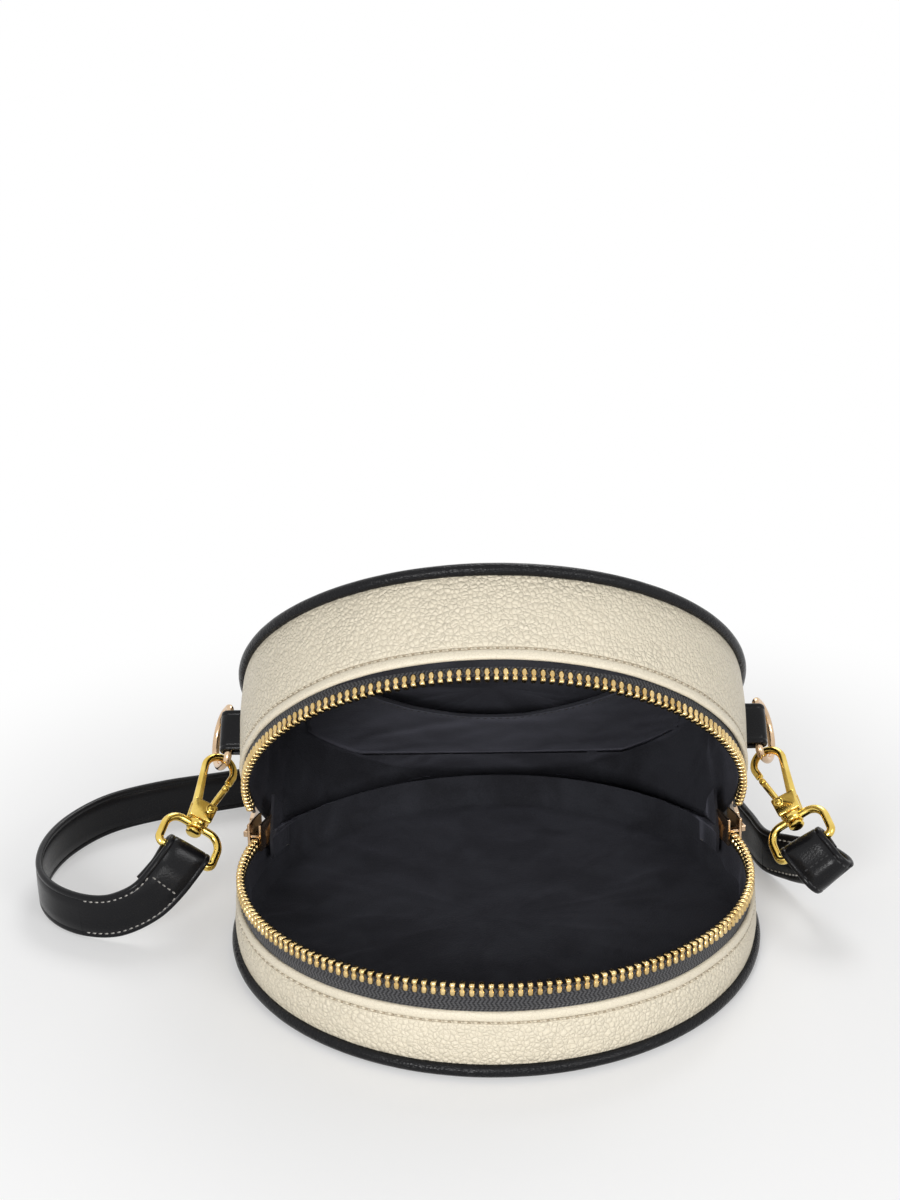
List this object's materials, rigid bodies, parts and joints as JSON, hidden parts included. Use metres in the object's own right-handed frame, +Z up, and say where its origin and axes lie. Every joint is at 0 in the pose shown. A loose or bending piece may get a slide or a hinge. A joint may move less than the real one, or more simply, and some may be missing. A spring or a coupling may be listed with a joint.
{
  "type": "round shoulder bag",
  "caption": "Round zipped shoulder bag lying open on its back panel, with a leaning front shell, piped leather gussets, a lining pocket and a strap on swivel snap hooks.",
  "frame": {"origin": "centre of the back panel's outer face, where the bag lies on the floor", "axes": "+X to the right seen from the open mouth, +Y from the mouth toward the hinge side, +Z up from the floor"},
  "size_m": [0.3154, 0.24, 0.15],
  "materials": {
    "cream_leather": "pebbled, soft satin",
    "piping_leather": "smooth satin",
    "strap_leather": "smooth satin with pale stitching",
    "lining_fabric": "matt suede-like weave",
    "zip_tape": "matt woven",
    "zip_metal": "polished pale gold",
    "gold_metal": "polished yellow gold",
    "stiffener_board": "plain fibre board"
  },
  "bodies": {
    "back_shell": {"back_panel": "cream_leather", "back_board": "stiffener_board", "back_lining": "lining_fabric", "back_gusset": "cream_leather", "back_piping": "piping_leather", "back_zip_tape": "zip_tape", "back_zip_teeth": "zip_metal", "base_gusset": "cream_leather", "left_strap": "strap_leather", "right_strap": "strap_leather"},
    "front_shell": {"front_panel": "cream_leather", "front_board": "stiffener_board", "front_lining": "lining_fabric", "front_gusset": "cream_leather", "front_piping": "piping_leather", "front_zip_tape": "zip_tape", "front_zip_teeth": "zip_metal", "slip_pocket": "lining_fabric", "left_tab": "strap_leather", "right_tab": "strap_leather"},
    "left_slider": {"left_slider": "gold_metal"},
    "left_pull": {"left_pull": "gold_metal"},
    "left_ring": {"left_d_ring": "gold_metal"},
    "left_eye": {"left_eye": "gold_metal"},
    "left_hook": {"left_hook": "gold_metal"},
    "left_gate": {"left_gate": "gold_metal"},
    "right_slider": {"right_slider": "gold_metal"},
    "right_pull": {"right_pull": "gold_metal"},
    "right_ring": {"right_d_ring": "gold_metal"},
    "right_eye": {"right_eye": "gold_metal"},
    "right_hook": {"right_hook": "gold_metal"},
    "right_gate": {"right_gate": "gold_metal"}
  },
  "joints": [
    {"name": "shell_hinge", "type": "hinge", "parent": "back_shell", "child": "front_shell", "pos_m": [0, 0.02544, 0.0111], "axis": [1, 0, 0], "range_deg": [0, 48], "deforming": ["base_gusset", "left_strap", "right_strap"]},
    {"name": "left_slider_run", "type": "hinge", "parent": "back_shell", "child": "left_slider", "pos_m": [0, 0, 0.0283], "axis": [0, 0.0698, 0.9976], "range_deg": [0, 100]},
    {"name": "left_pull_hinge", "type": "hinge", "parent": "left_slider", "child": "left_pull", "pos_m": [-0.0955, 0.02822, 0.02633], "axis": [0, 0.0698, 0.9976], "range_deg": [0, 60]},
    {"name": "left_ring_hinge", "type": "hinge", "parent": "front_shell", "child": "left_ring", "pos_m": [-0.1035, 0.04401, 0.06206], "axis": [0, -0.7431, -0.6691], "range_deg": [-8, 6]},
    {"name": "left_eye_hinge", "type": "hinge", "parent": "front_shell", "child": "left_eye", "pos_m": [-0.11802, 0.00487, 0.02955], "axis": [0.7958, 0.0795, -0.6003], "range_deg": [-0.5, 4]},
    {"name": "left_hook_swivel", "type": "hinge", "parent": "left_eye", "child": "left_hook", "pos_m": [-0.11403, 0.01842, 0.03663], "axis": [-0.2528, -0.8572, -0.4486], "range_deg": [-35, 25]},
    {"name": "left_gate_hinge", "type": "hinge", "parent": "left_hook", "child": "left_gate", "pos_m": [-0.11056, 0.02327, 0.0379], "axis": [0.4534, -0.5145, 0.7278], "range_deg": [0, 18], "stiffness_Nm_per_rad": 0.02, "springref_deg": -5.73},
    {"name": "right_slider_run", "type": "hinge", "parent": "back_shell", "child": "right_slider", "pos_m": [0, 0, 0.0283], "axis": [0, -0.0698, -0.9976], "range_deg": [0, 100]},
    {"name": "right_pull_hinge", "type": "hinge", "parent": "right_slider", "child": "right_pull", "pos_m": [0.0955, 0.02822, 0.02633], "axis": [0, -0.0698, -0.9976], "range_deg": [0, 60]},
    {"name": "right_ring_hinge", "type": "hinge", "parent": "front_shell", "child": "right_ring", "pos_m": [0.1035, 0.04401, 0.06206], "axis": [0, 0.7431, 0.6691], "range_deg": [-8, 6]},
    {"name": "right_eye_hinge", "type": "hinge", "parent": "front_shell", "child": "right_eye", "pos_m": [0.11802, 0.00487, 0.02955], "axis": [0.7958, -0.0795, 0.6003], "range_deg": [-0.5, 4]},
    {"name": "right_hook_swivel", "type": "hinge", "parent": "right_eye", "child": "right_hook", "pos_m": [0.11403, 0.01842, 0.03663], "axis": [-0.2528, 0.8572, 0.4486], "range_deg": [-35, 25]},
    {"name": "right_gate_hinge", "type": "hinge", "parent": "right_hook", "child": "right_gate", "pos_m": [0.11056, 0.02327, 0.0379], "axis": [0.4534, 0.5145, -0.7278], "range_deg": [0, 18], "stiffness_Nm_per_rad": 0.02, "springref_deg": -5.73}
  ]
}
